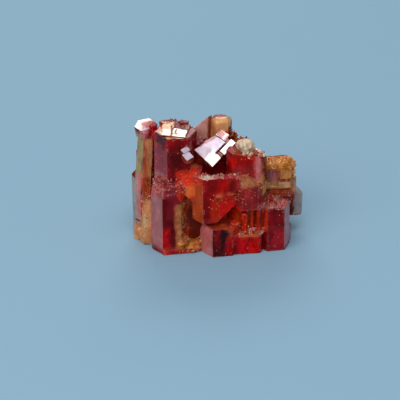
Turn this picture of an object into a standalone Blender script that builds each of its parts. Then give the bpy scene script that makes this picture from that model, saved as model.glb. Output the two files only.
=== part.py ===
"""Vanadinite: a cluster of hexagonal prisms grown together, with one pale grain held on top.

The crystals are placed in millimetres in the cluster's own space: X to the right, Y away from the
viewer, Z up from the ground that the lower ends stand on. The last step moves the finished solids so
that the origin is at the middle of the cluster's base, and writes them in metres.
"""

import math
import random

import bmesh
import bpy
from mathutils import Matrix, Vector

MM = 0.001

# Driving dimensions. All large prisms share one habit: a side length, which is also the radius to a
# corner, and one common turn about the vertical, as parallel growth gives.
COMMON_TURN = 10.0        # degrees that the front faces look to the right of straight ahead
EDGE_CHAMFER = 0.10       # the worn line along a large crystal's edges
CHAMFER_FROM_SIDE = 1.2   # smaller crystals keep plain edges
GROUND_DEPTH = 1.0        # how far the standing crystals reach below the ground before the flat cut
GRAIN_RADII = (1.85, 1.30, 1.20)
GRAIN_AT = (5.0, -5.7, 20.15)
GRAIN_GAP = 0.3           # clear space between the grain and its seat
SEED_CRUMBS = 11

RED = ("vanadinite red", (0.33, 0.012, 0.010, 1.0), 0.14)
PALE = ("pale barite", (0.62, 0.47, 0.30, 1.0), 0.42)

UP = Vector((0, 0, 1))
FACE_RIGHT = Vector((math.cos(math.radians(COMMON_TURN)), math.sin(math.radians(COMMON_TURN)), 0))
FACE_OUT = FACE_RIGHT.cross(UP)   # the direction that the front faces look in


def clear_scene():
    for old in list(bpy.data.objects):
        bpy.data.objects.remove(old, do_unlink=True)


def material(look):
    name, colour, roughness = look
    made = bpy.data.materials.new(name)
    made.use_nodes = True
    shader = made.node_tree.nodes["Principled BSDF"]
    shader.inputs["Base Color"].default_value = colour
    shader.inputs["Roughness"].default_value = roughness
    shader.inputs["Metallic"].default_value = 0.0
    made.diffuse_color = colour
    return made


def keep_as_object(bm, name, group):
    """Writes a bmesh in millimetres to a new object in metres."""
    bmesh.ops.scale(bm, vec=(MM, MM, MM), verts=bm.verts)
    bmesh.ops.recalc_face_normals(bm, faces=bm.faces)
    mesh = bpy.data.meshes.new(name)
    bm.to_mesh(mesh)
    bm.free()
    made = bpy.data.objects.new(name, mesh)
    group.objects.link(made)
    return made


def upright_hexagon(bm, side, height, taper, stretch):
    """A prism standing on z = 0 with a side face looking along -Y, which stretch widens to the right."""
    across = Matrix.Rotation(math.radians(30), 4, "Z")
    made = bmesh.ops.create_cone(
        bm, cap_ends=True, segments=6, radius1=side, radius2=side * taper, depth=height, matrix=across
    )
    bmesh.ops.translate(bm, verts=made["verts"], vec=(0, 0, height / 2))
    right = [v for v in made["verts"] if v.co.x > 0.2 * side]
    bmesh.ops.translate(bm, verts=right, vec=(stretch, 0, 0))


def highest_face(bm):
    return max(bm.faces, key=lambda face: face.calc_center_median().z)


def break_off(bm, point, normal):
    """Takes away what lies beyond a plane, and closes the break with one flat face."""
    geometry = list(bm.verts) + list(bm.edges) + list(bm.faces)
    bmesh.ops.bisect_plane(
        bm, geom=geometry, dist=1e-6, plane_co=Vector(point), plane_no=Vector(normal), clear_outer=True
    )
    rim = [edge for edge in bm.edges if edge.is_boundary]
    if rim:
        bmesh.ops.contextual_create(bm, geom=rim)


def chamfer_edges(bm, width):
    bmesh.ops.recalc_face_normals(bm, faces=bm.faces)
    sharp = [edge for edge in bm.edges if edge.calc_face_angle(0.0) > math.radians(15)]
    bmesh.ops.bevel(
        bm, geom=sharp, offset=width, offset_type="OFFSET", segments=1, profile=0.5,
        affect="EDGES", clamp_overlap=True, material=-1,
    )


def crystal(
    name, group, at, top, side, foot=-GROUND_DEPTH, stretch=0.0, turn=0.0, lean=(0.0, 0.0),
    taper=1.0, steps=(), breaks=(), chamfer=EDGE_CHAMFER,
):
    """One hexagonal prism. at is the middle of its foot, lean its tilt in degrees (towards the viewer,
    to the right), steps the insets on its top as (inwards, upwards), and breaks are planes in the
    cluster's space, as (point, normal), beyond which a piece is missing."""
    bm = bmesh.new()
    upright_hexagon(bm, side, top - foot, taper, stretch)
    for inwards, upwards in steps:
        bmesh.ops.inset_region(
            bm, faces=[highest_face(bm)], thickness=inwards, depth=upwards, use_even_offset=True
        )
    towards, right = (math.radians(angle) for angle in lean)
    place = (
        Matrix.Translation((at[0], at[1], foot))
        @ Matrix.Rotation(towards, 4, "X")
        @ Matrix.Rotation(right, 4, "Y")
        @ Matrix.Rotation(math.radians(COMMON_TURN + turn), 4, "Z")
    )
    bmesh.ops.transform(bm, matrix=place, verts=bm.verts)
    for point, normal in breaks:
        break_off(bm, point, normal)
    if side >= CHAMFER_FROM_SIDE and chamfer:
        chamfer_edges(bm, chamfer)
    return keep_as_object(bm, name, group)


def plate(name, group, corner, right, up, outline, depth, chamfer=0.04):
    """A flat slab: an outline in the plane of right and up, whose front lies on the corner, made
    depth thick behind it."""
    out = right.cross(up).normalized()
    bm = bmesh.new()
    rim = [bm.verts.new(Vector(corner) + right * a + up * b) for a, b in outline]
    face = bmesh.ops.contextual_create(bm, geom=rim)["faces"]
    grown = bmesh.ops.extrude_face_region(bm, geom=face)["geom"]
    back = [item for item in grown if isinstance(item, bmesh.types.BMVert)]
    bmesh.ops.translate(bm, verts=back, vec=-out * depth)
    if chamfer:
        chamfer_edges(bm, chamfer)
    return keep_as_object(bm, name, group)


def box_outline(left, low, right, high):
    return ((left, low), (right, low), (right, high), (left, high))


def carve(target, tool):
    """Cuts a hollow of the tool's form into one crystal before the crystals are joined."""
    tool.hide_render = True
    tool.display_type = "WIRE"
    cut = target.modifiers.new(tool.name, "BOOLEAN")
    cut.operation = "DIFFERENCE"
    cut.solver = "EXACT"
    cut.object = tool


def left_columns(grow, helpers):
    """The slim leaning column at the far left, its bright wider head, and the shorter ones before it."""
    crystal("left_column", grow, at=(-13.7, -1.4), foot=9.0, top=21.0, side=1.9, lean=(0, 4.5))
    crystal("left_column_rear", grow, at=(-12.4, 0.6), top=19.8, side=1.8, lean=(0, 1.2), turn=3)
    crystal("left_column_head", grow, at=(-13.0, -1.05), foot=20.4, top=22.6, side=2.1, lean=(14, -7))
    crystal(
        "head_rose_crystal", grow, at=(-13.0, -2.25), foot=20.45, top=22.25, side=0.92, turn=5,
        lean=(28, -3),
    )
    crystal("head_red_crystal", grow, at=(-11.75, -2.5), foot=20.2, top=22.9, side=0.82, turn=12)
    crystal("head_red_splinter", grow, at=(-11.3, -3.4), foot=20.0, top=22.0, side=0.45, turn=-9)
    crystal(
        "lower_left_column", grow, at=(-13.4, -0.5), top=12.6, side=2.55, lean=(0, -0.6),
        breaks=[((-15.4, -1.5, 12.0), (0.42, -0.25, 0.87))],
    )
    crystal(
        "lower_left_rib", grow, at=(-13.1, -1.9), top=14.6, side=1.35, turn=8, lean=(0, -2.5),
        breaks=[((-13.6, -3.0, 13.6), (-0.40, -0.55, 0.73))],
    )
    crystal(
        "lower_left_lobe", grow, at=(-12.55, -4.1), top=9.4, side=2.15, turn=-12,
        breaks=[((-13.3, -5.6, 6.9), (-0.66, -0.30, 0.69)), ((-14.2, -5.0, 1.5), (-0.74, -0.62, 0.26))],
    )
    crystal(
        "lower_left_heel", grow, at=(-14.3, -2.6), top=3.6, side=1.5, turn=6,
        breaks=[((-14.9, -3.6, 2.9), (-0.60, -0.45, 0.66))],
    )
    crystal("lower_left_splinter", grow, at=(-11.5, -5.9), top=9.0, side=0.75, turn=-4)


def tall_red_crystals(grow, helpers):
    """The tall prism left of the middle with its clear red cap, and the short one standing before it."""
    crystal("tall_red", grow, at=(-7.7, -3.55), top=20.8, side=4.0)
    crystal(
        "tall_red_cap", grow, at=(-7.75, -3.5), foot=19.9, top=22.15, side=4.05, lean=(4.0, 2.0),
        steps=[(0.25, 0.10)], breaks=[((-11.3, -5.0, 20.6), (-0.62, -0.20, -0.76))],
    )
    terrace_right = Vector((4.4, -0.30, -0.34)).normalized()
    terrace_back = Vector((0.12, 0.99, 0.075)).normalized()
    terrace = ((0.0, 0.0), (4.4, 0.0), (4.75, 5.1), (2.1, 5.5), (2.0, 7.0), (0.75, 7.0), (-0.45, 4.2))
    plate("cap_terrace", grow, (-10.2, -6.55, 22.48), terrace_right, terrace_back, terrace, depth=0.6)
    crystal("cap_rear_left", grow, at=(-9.75, -0.9), foot=19.0, top=22.9, side=0.95, stretch=0.3)
    crystal("cap_rear_right", grow, at=(-6.35, -0.7), foot=19.0, top=22.85, side=0.95, stretch=0.2, turn=4)
    crystal(
        "front_left", grow, at=(-8.8, -6.75), top=11.6, side=3.45, steps=[(0.5, 1.65)],
        breaks=[((-5.75, -8.6, 12.2), (0.72, -0.35, 0.60))],
    )
    crystal("front_left_ledge", grow, at=(-8.65, -6.95), top=0.95, side=3.45, stretch=2.9, turn=2)


def middle_crystals(grow, helpers):
    """The bright red block that hangs over the lower row, its left shoulder and right neighbour."""
    block = crystal(
        "middle_block", grow, at=(-1.5, -7.0), foot=6.2, top=15.2, side=3.2, stretch=3.5,
        breaks=[((4.55, -9.5, 11.0), (0.70, -0.20, -0.69))],
    )
    carve(block, crystal(
        "middle_block_hollow", helpers, at=(-0.6, -5.2), foot=8.0, top=17.0, side=2.8, stretch=3.2,
        chamfer=0,
    ))
    flake = (
        (0.0, 0.0), (-0.15, 1.4), (-0.55, 3.3), (-1.25, 4.9), (-0.5, 4.5), (0.5, 4.4), (1.5, 4.7),
        (2.4, 5.35), (3.3, 5.9), (4.8, 6.2), (4.8, -0.6), (0.0, -0.6),
    )
    front_corner = Vector((-2.6, -10.0, 0.0))
    flake_at = front_corner + FACE_RIGHT * 3.45 + UP * 6.6 + FACE_OUT * 1.0
    carve(block, plate(
        "middle_block_flake", helpers, flake_at, FACE_RIGHT, UP, flake, depth=1.42, chamfer=0
    ))
    crystal(
        "middle_left_shoulder", grow, at=(-4.95, -6.4), foot=8.0, top=16.2, side=2.4,
        breaks=[
            ((-5.0, -6.9, 14.9), (-0.22, -0.70, 0.68)),
            ((-5.9, -8.0, 11.1), (-0.66, -0.25, -0.71)),
        ],
    )
    crystal(
        "middle_right", grow, at=(5.5, -6.15), foot=8.5, top=15.2, side=3.4, turn=-1,
        breaks=[((5.3, -8.6, 15.1), (0.64, -0.06, 0.76)), ((8.3, -8.0, 12.0), (0.95, -0.1, 0.30))],
    )


def lower_front_crystals(grow, helpers):
    """The short row along the front edge, with a niche between slim pillars above its wide crystal."""
    crystal(
        "lower_front", grow, at=(0.5, -7.5), top=5.75, side=3.75,
        breaks=[((-2.75, -8.4, 4.9), (-0.78, -0.30, 0.55)), ((3.1, -9.0, 5.5), (0.30, -0.35, 0.89))],
    )
    crystal("lower_wide", grow, at=(3.3, -7.3), top=3.95, side=3.0, stretch=2.85, turn=-2)
    crystal("niche_back", grow, at=(5.2, -4.35), top=9.6, side=3.5)
    crystal("niche_shoulder", grow, at=(3.2, -8.2), foot=2.0, top=6.3, side=1.0, turn=18, lean=(8, 0))
    crystal("pillar_left", grow, at=(4.8, -7.95), foot=2.0, top=7.5, side=0.95, turn=4, steps=[(0.25, 0.3)])
    crystal("pillar_middle", grow, at=(6.35, -7.5), foot=2.0, top=8.9, side=0.55, turn=-8)
    crystal("pillar_right", grow, at=(7.75, -7.75), foot=2.0, top=8.9, side=0.72, turn=5)
    crystal("pillar_far_right", grow, at=(8.65, -6.9), foot=2.0, top=8.2, side=0.9, turn=9)
    lower_right = crystal(
        "lower_right", grow, at=(10.35, -5.45), top=8.65, side=3.4, taper=0.93, turn=1, steps=[(0.3, 0.15)]
    )
    carve(lower_right, crystal(
        "lower_right_hopper", helpers, at=(10.0, -5.75), foot=8.25, top=10.0, side=1.9, turn=3, chamfer=0
    ))
    crystal("lower_right_skirt", grow, at=(11.75, -3.6), top=3.2, side=2.3, turn=5)


def upper_right_crystals(grow, helpers):
    """The red crystal under the pale grain, with the small bright crystals strewn on its sloping top."""
    crystal(
        "upper_right", grow, at=(3.45, -6.1), foot=10.0, top=20.0, side=2.0, stretch=3.65, turn=-1,
        breaks=[((2.8, -8.0, 19.35), (0.25, -0.03, 0.97))],
    )
    strewn = (
        (5.15, -6.9, 19.0, 0.42, 8), (6.25, -6.2, 18.9, 0.66, -6), (5.75, -7.25, 18.65, 0.46, 17),
        (7.0, -5.0, 18.9, 0.40, 25), (7.65, -6.3, 18.35, 0.55, -15), (7.9, -4.9, 18.4, 0.70, 4),
        (6.3, -4.6, 19.0, 0.50, 12),
    )
    for number, (x, y, z, side, turn) in enumerate(strewn):
        crystal(
            f"strewn_{number}", grow, at=(x, y), foot=z - 1.1 * side, top=z + 0.5 * side, side=side,
            turn=turn, lean=(8 + 3 * (number % 3), 6 - 5 * (number % 4)),
        )


def skeletal_crystals(grow, helpers):
    """The orange block with skeletal growth: a crown and lower blocks stand out, the core lies back."""
    crystal(
        "skeletal_core", grow, at=(9.3, -0.75), foot=4.8, top=15.2, side=2.15, stretch=3.1,
        breaks=[((14.2, -2.0, 14.4), (0.80, -0.10, 0.60))],
    )
    crystal(
        "skeletal_crown", grow, at=(9.45, -1.6), foot=13.85, top=15.2, side=2.25, stretch=3.15,
        steps=[(0.25, 0.3)], breaks=[((13.3, -2.0, 15.4), (0.62, -0.10, 0.78))],
    )
    corner = Vector((8.68, -3.72, 0.0))
    blocks = (
        ("skeletal_gold_block", 3.0, 12.1, 5.25, 14.3, 0.06),
        ("skeletal_lip", 0.1, 14.35, 5.1, 14.68, 0.22),
        ("skeletal_lower_left", -0.55, 10.4, 1.35, 11.65, 0.0),
        ("skeletal_lower_right", 2.75, 10.3, 5.1, 11.6, 0.05),
        ("skeletal_bridge", 1.2, 9.9, 2.9, 10.7, -0.45),
        ("skeletal_sill", -0.2, 8.4, 5.2, 9.9, -0.40),
    )
    for name, left, low, right, high, proud in blocks:
        plate(
            name, grow, corner + FACE_OUT * proud, FACE_RIGHT, UP, box_outline(left, low, right, high),
            depth=1.6, chamfer=0.12,
        )
    for number in range(5):
        left = 0.15 + 0.52 * number
        proud = -0.78 + 0.08 * (number % 2)
        plate(
            f"skeletal_rib_{number}", grow, corner + FACE_OUT * proud, FACE_RIGHT, UP,
            box_outline(left, 10.6, left + 0.32, 13.95), depth=0.8,
        )
    knobs = (
        (1.0, 15.2, 0.42), (1.75, 14.95, 0.38), (2.5, 15.3, 0.45), (3.55, 15.25, 0.36), (4.2, 15.35, 0.5),
        (3.3, 13.7, 0.3), (4.9, 14.4, 0.45), (0.3, 14.9, 0.35), (4.4, 11.9, 0.35), (0.4, 11.75, 0.4),
        (5.6, 13.6, 0.4), (5.55, 11.5, 0.42),
    )
    for number, (across, z, side) in enumerate(knobs):
        place = corner + FACE_RIGHT * across - FACE_OUT * 0.12 * (1 + number % 3)
        crystal(
            f"skeletal_knob_{number}", grow, at=place[:2], foot=z - side, top=z + 0.7 * side, side=side,
            turn=11 * (number % 5) - 20, lean=(7 * (number % 3) - 4, 5 * (number % 4) - 8),
        )
    crystal("skeletal_foot_right", grow, at=(13.85, -0.8), foot=4.1, top=12.0, side=1.05)
    crystal("skeletal_foot_middle", grow, at=(12.3, -0.4), foot=3.0, top=12.0, side=1.6, turn=3)
    crystal(
        "far_right", grow, at=(15.0, 1.0), foot=3.4, top=8.6, side=1.35, turn=6,
        breaks=[((15.6, 1.0, 8.1), (0.60, -0.10, 0.79))],
    )
    crystal("under_skeletal", grow, at=(10.6, 0.4), top=7.0, side=3.0, turn=3)


def leaning_crystals(grow, helpers):
    """The large prism that lies across the hollow, built of stepped plates, and the small one beside it."""
    tilt = math.radians(45)
    slope = math.radians(48.8)
    out = Vector((0, -math.sin(tilt), math.cos(tilt)))
    uphill = Vector((0, math.cos(tilt), math.sin(tilt)))
    axis = Vector((1, 0, 0)) * math.cos(slope) + uphill * math.sin(slope)
    across = out.cross(axis)
    tip = Vector((-0.95, -7.0, 16.4))
    body = ((0.1, 0.1), (6.3, 0.15), (6.4, 3.3), (5.35, 4.0), (3.1, 4.6), (0.4, 4.65))
    main = (
        (0.0, 0.0), (2.36, 0.0), (2.6, 1.4), (5.25, 1.4), (5.1, 3.2), (3.35, 3.7), (2.2, 4.2), (0.33, 4.8)
    )
    strip = box_outline(3.25, -0.08, 6.45, 1.08)
    far = ((5.35, 1.6), (6.85, 1.75), (6.8, 3.55), (5.2, 3.85))
    plate("leaning_body", grow, tip - out * 0.5, axis, across, body, depth=2.3, chamfer=0.1)
    plate("leaning_main_plate", grow, tip, axis, across, main, depth=0.8)
    plate("leaning_strip", grow, tip - out * 0.05, axis, across, strip, depth=0.8)
    plate("leaning_far_plate", grow, tip - out * 0.12, axis, across, far, depth=0.8)
    for number in range(3):
        ridge = box_outline(5.5 + 0.42 * number, 1.9, 5.72 + 0.42 * number, 3.7)
        plate(f"leaning_ridge_{number}", grow, tip - out * 0.04, axis, across, ridge, depth=0.4, chamfer=0)

    tilt = math.radians(36)
    slope = math.radians(-52)
    out = Vector((0.10, -math.sin(tilt), math.cos(tilt))).normalized()
    uphill = out.cross(Vector((1, 0, 0))).normalized()
    axis = uphill.cross(out) * math.cos(slope) + uphill * math.sin(slope)
    across = out.cross(axis)
    foot = Vector((-6.75, -7.55, 20.05))
    plate("small_leaning_upper", grow, foot, axis, across, box_outline(0, 0, 1.1, 1.5), depth=1.2)
    plate(
        "small_leaning_lower", grow, foot - out * 0.1, axis, across, box_outline(0.95, -0.4, 2.55, 1.15),
        depth=1.3,
    )


def rear_crystals(grow, helpers):
    """The tops that show behind the leaning prism, the fill between, and the far side's own prisms."""
    crystal(
        "rear_pink", grow, at=(-3.3, 3.0), top=24.5, side=2.4,
        breaks=[((-3.9, 0.6, 21.4), (-0.62, 0.35, 0.70))],
    )
    crystal(
        "orange_top", grow, at=(0.65, 2.8), foot=6.0, top=21.6, side=2.22,
        steps=[(0.45, 0.55), (0.35, 0.12)], lean=(-2, 0),
    )
    crystal("orange_top_flank", grow, at=(2.4, 3.4), foot=6.0, top=18.9, side=1.6, turn=8)
    crystal("behind_grain", grow, at=(3.9, 1.0), foot=6.0, top=18.2, side=1.5, turn=-7, lean=(0, 3))
    crystal("inner_red", grow, at=(-3.8, -1.8), foot=6.0, top=19.2, side=1.7, turn=6, steps=[(0.3, 0.25)])
    crystal("inner_middle", grow, at=(-0.2, -1.3), top=17.6, side=2.7, turn=-5)
    crystal("inner_right", grow, at=(4.4, -1.9), top=17.6, side=2.6, turn=3)
    crystal("inner_left", grow, at=(-4.6, -4.3), top=12.4, side=2.4, turn=2)
    crystal("inner_floor", grow, at=(-0.6, -4.6), top=8.4, side=3.4, turn=0.7)
    crystal("gap_floor", grow, at=(-3.5, -6.5), top=1.9, side=2.4, turn=5)
    crystal("fill_left", grow, at=(-10.2, 0.6), top=14.6, side=2.9, turn=-2)
    crystal("fill_middle_left", grow, at=(-5.6, 0.8), top=15.7, side=3.0, turn=2.5)
    crystal("fill_middle", grow, at=(0.3, 1.6), top=13.4, side=3.1, turn=-1)
    crystal("fill_right", grow, at=(5.3, 0.6), top=12.1, side=3.0, turn=4)
    crystal("common_root", grow, at=(-4.6, -0.2), top=2.4, side=6.3, stretch=8.2, turn=-9)
    rear = (
        ("rear_left_edge", (-12.1, 3.2), 15.6, 2.7, 2.0, 2.5),
        ("rear_left", (-8.2, 4.2), 17.6, 3.4, -1.5, 1.0),
        ("rear_middle_left", (-4.2, 6.6), 15.2, 2.9, 4.0, 2.0),
        ("rear_middle", (0.4, 6.4), 16.0, 3.1, -3.0, 0.5),
        ("rear_right", (5.7, 4.5), 12.2, 3.3, 2.5, 1.5),
        ("rear_right_edge", (9.9, 4.1), 11.0, 2.9, -4.0, 3.0),
        ("rear_low_left", (-10.7, 6.6), 9.2, 2.2, 6.0, 5.5),
        ("rear_low_middle_left", (-6.9, 8.6), 11.4, 2.2, -6.0, 4.0),
        ("rear_low_middle", (-1.6, 9.3), 8.1, 2.4, 1.5, 6.0),
        ("rear_low_right", (3.7, 8.5), 9.3, 2.5, 5.5, 4.5),
        ("rear_low_right_edge", (8.1, 7.0), 7.2, 2.3, -2.5, 7.0),
        ("rear_corner_right", (12.0, 5.0), 6.2, 1.7, 9.0, 6.5),
        ("rear_foot_left", (-12.9, 5.6), 5.4, 1.5, 3.0, 8.0),
        ("rear_foot_middle_left", (-4.3, 10.0), 5.1, 1.5, 12.0, 9.0),
        ("rear_foot_middle", (1.2, 10.4), 4.4, 1.4, -8.0, 10.0),
        ("rear_foot_right", (6.5, 9.2), 4.0, 1.3, 7.0, 10.0),
    )
    for number, (name, at, top, side, turn, outwards) in enumerate(rear):
        crown = [(0.15 * side, 0.12 * side)] if number % 3 == 1 else []
        sideways = outwards * at[0] / 14
        crystal(name, grow, at=at, top=top, side=side, turn=turn, steps=crown, lean=(-outwards, sideways))


def crumbs(grow, helpers):
    """Small crystals in seeded patches: name, middle, half size, side from and to, count, lean."""
    dice = random.Random(SEED_CRUMBS)
    patches = (
        ("crumb_front_left_top", (-9.9, -6.0, 13.25), (1.7, 2.0, 0.15), (0.25, 0.50), 14, 14),
        ("crumb_lower_right_top", (10.1, -5.7, 8.55), (1.7, 1.7, 0.15), (0.25, 0.50), 12, 14),
        ("crumb_gap", (-5.6, -8.7, 1.5), (1.3, 0.7, 0.7), (0.30, 0.60), 9, 28),
        ("crumb_block_top", (3.5, -8.1, 15.3), (0.8, 0.3, 0.1), (0.20, 0.34), 5, 16),
        ("crumb_behind", (4.3, 0.6, 17.9), (1.2, 0.9, 0.3), (0.30, 0.60), 6, 22),
        ("crumb_niche", (6.9, -8.2, 4.2), (1.0, 0.4, 0.15), (0.22, 0.40), 5, 16),
    )
    for name, middle, half, sizes, count, lean in patches:
        for number in range(count):
            x, y, z = (m + h * dice.uniform(-1, 1) for m, h in zip(middle, half))
            side = dice.uniform(*sizes)
            crystal(
                f"{name}_{number}", grow, at=(x, y), foot=z - 1.3 * side, top=z + 0.9 * side, side=side,
                turn=dice.uniform(-30, 30), lean=(dice.uniform(-lean, lean) + 6, dice.uniform(-lean, lean)),
            )


def pale_grain(name, group, gap=0.0):
    """The cream grain on the red crystal: a worn lump with a few broken flats. gap makes it larger."""
    bm = bmesh.new()
    bmesh.ops.create_icosphere(bm, subdivisions=3, radius=1.0)
    dents = (
        ((0.27, -0.54, 0.42), 0.55, 0.22), ((-0.65, 0.15, 0.5), 0.6, 0.16), ((0.8, -0.2, 0.33), 0.5, 0.14),
    )
    for middle, reach, depth in dents:
        for vert in bm.verts:
            near = 1.0 - (vert.co - Vector(middle).normalized()).length / reach
            if near > 0:
                vert.co -= vert.co.normalized() * depth * near
    bmesh.ops.scale(bm, vec=[radius + gap for radius in GRAIN_RADII], verts=bm.verts)
    bmesh.ops.rotate(bm, cent=(0, 0, 0), matrix=Matrix.Rotation(math.radians(9), 3, "Y"), verts=bm.verts)
    bmesh.ops.translate(bm, verts=bm.verts, vec=GRAIN_AT)
    return keep_as_object(bm, name, group)


def join_step(target, operation, name, group=None, tool=None):
    step = target.modifiers.new(name, "BOOLEAN")
    step.operation = operation
    step.solver = "EXACT"
    if group is not None:
        step.operand_type = "COLLECTION"
        step.collection = group
    else:
        tool.hide_render = True
        tool.display_type = "WIRE"
        step.object = tool


def grown_together(grow, helpers, seat):
    """One mesh of all the crystals, cut off flat at the ground and cleared round the pale grain."""
    first = next(iter(grow.objects))
    grow.objects.unlink(first)
    bpy.context.scene.collection.objects.link(first)
    bm = bmesh.new()
    bmesh.ops.create_cube(bm, size=60.0)
    bmesh.ops.translate(bm, verts=bm.verts, vec=(0, 0, -30.0))
    ground = keep_as_object(bm, "ground_block", helpers)
    join_step(first, "UNION", "grown_together", group=grow)
    join_step(first, "DIFFERENCE", "cut_at_ground", tool=ground)
    join_step(first, "DIFFERENCE", "seat_for_grain", tool=seat)
    graph = bpy.context.evaluated_depsgraph_get()
    return bpy.data.meshes.new_from_object(first.evaluated_get(graph))


def connected_bodies(bm):
    unseen = set(bm.verts)
    bodies = []
    while unseen:
        body = set()
        front = [next(iter(unseen))]
        while front:
            vert = front.pop()
            if vert in body:
                continue
            body.add(vert)
            front.extend(edge.other_vert(vert) for edge in vert.link_edges)
        unseen -= body
        bodies.append(body)
    return sorted(bodies, key=len)


def keep_outer_body(mesh):
    """Fills the spaces that are shut in between the prisms: only the body with the outside stays."""
    bm = bmesh.new()
    bm.from_mesh(mesh)
    for body in connected_bodies(bm)[:-1]:
        high = max(v.co.z for v in body) / MM
        print("filled or dropped", len(body), "corners, top at", round(high, 2), "mm")
        bmesh.ops.delete(bm, geom=list(body), context="VERTS")
    bm.to_mesh(mesh)
    bm.free()


def middle_of_base(mesh):
    """The point of the mesh's own box that becomes the origin, in metres."""
    low = Vector([min(v.co[i] for v in mesh.vertices) for i in range(3)])
    high = Vector([max(v.co[i] for v in mesh.vertices) for i in range(3)])
    return Vector(((low.x + high.x) / 2, (low.y + high.y) / 2, low.z))


def main():
    clear_scene()
    scene = bpy.context.scene
    grow = bpy.data.collections.new("crystals")
    helpers = bpy.data.collections.new("helpers")
    scene.collection.children.link(grow)
    scene.collection.children.link(helpers)
    for build in (
        left_columns, tall_red_crystals, middle_crystals, lower_front_crystals, upper_right_crystals,
        skeletal_crystals, leaning_crystals, rear_crystals, crumbs,
    ):
        build(grow, helpers)
    seat = pale_grain("pale_grain_seat", helpers, gap=GRAIN_GAP)
    grain = pale_grain("pale_grain", scene.collection)
    mesh = grown_together(grow, helpers, seat)
    keep_outer_body(mesh)
    for old in [made for made in bpy.data.objects if made is not grain]:
        bpy.data.objects.remove(old, do_unlink=True)
    for group in (grow, helpers):
        bpy.data.collections.remove(group)
    cluster = bpy.data.objects.new("vanadinite_crystals", mesh)
    scene.collection.objects.link(cluster)
    origin = middle_of_base(mesh)
    for made, look in ((cluster, RED), (grain, PALE)):
        made.data.transform(Matrix.Translation(-origin))
        made.data.materials.clear()
        made.data.materials.append(material(look))
    print("origin moved from", tuple(round(c / MM, 2) for c in origin), "mm")


main()
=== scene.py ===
# %% [markdown]
# A vanadinite cluster is a handful of red hexagonal prisms that grew into each other, with one
# pale grain of barite caught on top. The solid model already holds the prisms at their real
# size. This lesson dresses it: the same surface is merged, cut finer and roughened where the
# real one is rough, and its colour follows the zones in which the real crystals grew.
# Some of that colour is painted light as well: glare on tops and plates, sheen on side faces, glints on
# edges and some shade, each marked where it is painted.

# %% Load the frame
import math
import random

import bmesh
import bpy
import numpy as np
from mathutils import Matrix, Vector, noise


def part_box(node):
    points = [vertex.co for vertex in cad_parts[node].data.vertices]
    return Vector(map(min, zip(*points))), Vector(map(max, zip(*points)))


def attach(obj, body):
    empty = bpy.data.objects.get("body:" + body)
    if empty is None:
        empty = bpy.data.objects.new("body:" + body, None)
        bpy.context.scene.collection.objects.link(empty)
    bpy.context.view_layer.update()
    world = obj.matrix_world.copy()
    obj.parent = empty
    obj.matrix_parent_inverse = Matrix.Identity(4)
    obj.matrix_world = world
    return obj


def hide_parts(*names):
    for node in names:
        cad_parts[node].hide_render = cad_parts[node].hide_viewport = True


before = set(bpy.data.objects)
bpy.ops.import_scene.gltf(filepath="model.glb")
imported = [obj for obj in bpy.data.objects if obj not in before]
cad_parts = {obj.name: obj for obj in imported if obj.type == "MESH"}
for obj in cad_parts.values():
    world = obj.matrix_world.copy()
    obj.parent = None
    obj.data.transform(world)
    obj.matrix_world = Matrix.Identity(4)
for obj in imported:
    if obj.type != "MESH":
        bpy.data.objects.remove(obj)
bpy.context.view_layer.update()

MM = 0.001
CLUSTER = "vanadinite_crystals"
GRAIN = "pale_grain"
low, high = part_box(CLUSTER)
print("cluster, in mm:", [round(side / MM, 1) for side in high - low])

# %% [markdown]
# Colours are written as sRGB hex values, as a paint chart gives them, and Blender's sockets
# want linear light. One function turns one into the other.

# %% Colours
def linear(hex_colour):
    """An sRGB hex colour as linear red, green, blue and alpha."""
    parts = [int(hex_colour[i : i + 2], 16) / 255 for i in (1, 3, 5)]
    return [c / 12.92 if c <= 0.04045 else ((c + 0.055) / 1.055) ** 2.4 for c in parts] + [1.0]


def add_node(tree, kind, settings=None, **links):
    """Adds a node. settings fill its properties and unlinked sockets, by name or number. links name
    the inputs that a source feeds, with i0 for the first input."""
    made = tree.nodes.new(kind)
    for name, value in (settings or {}).items():
        if isinstance(name, str) and hasattr(made, name):
            setattr(made, name, value)
        else:
            made.inputs[name].default_value = value
    for name, source in links.items():
        socket = made.inputs[int(name[1:])] if name[0] == "i" and name[1:].isdigit() else made.inputs[name]
        tree.links.new(source, socket)
    return made


# %% [markdown]
# The photograph looks down on the cluster at about 25 degrees, from as far as an arm reaches,
# through a lens that is long enough to keep the prisms' sides parallel.

# %% Camera
VIEW_TARGET = Vector((-3.34, -4.76, 8.4)) * MM
VIEW_DISTANCE = 250 * MM
VIEW_HEIGHT = math.radians(25)
SENSOR = 36
LENS = 121
NEAREST = 10 * MM


def place_camera():
    camera = bpy.data.objects.new("camera", bpy.data.cameras.new("camera"))
    bpy.context.scene.collection.objects.link(camera)
    towards = Vector((0, math.cos(VIEW_HEIGHT), -math.sin(VIEW_HEIGHT)))
    camera.location = VIEW_TARGET - towards * VIEW_DISTANCE
    camera.rotation_euler = towards.to_track_quat("-Z", "Y").to_euler()
    camera.data.sensor_width = SENSOR
    camera.data.lens = LENS
    camera.data.clip_start = NEAREST
    bpy.context.scene.camera = camera
    return camera


camera = place_camera()
print("camera at", [round(c / MM) for c in camera.location], "mm")

# %% [markdown]
# Crystals are mirrors first: each flat face shows what lies in one direction. Flat tops show
# what is low behind the object, slanting plates show what is high in front, and upright faces
# show the floor. So the studio is a few soft boxes, each set where one family of faces looks,
# over a plain pale floor, with a dim sky around.

# %% Studio
FLOOR_REACH = 2000 * MM
FLOOR_DROP = 0.02 * MM
MIDDLE = Vector((0, -4, 12)) * MM


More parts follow.
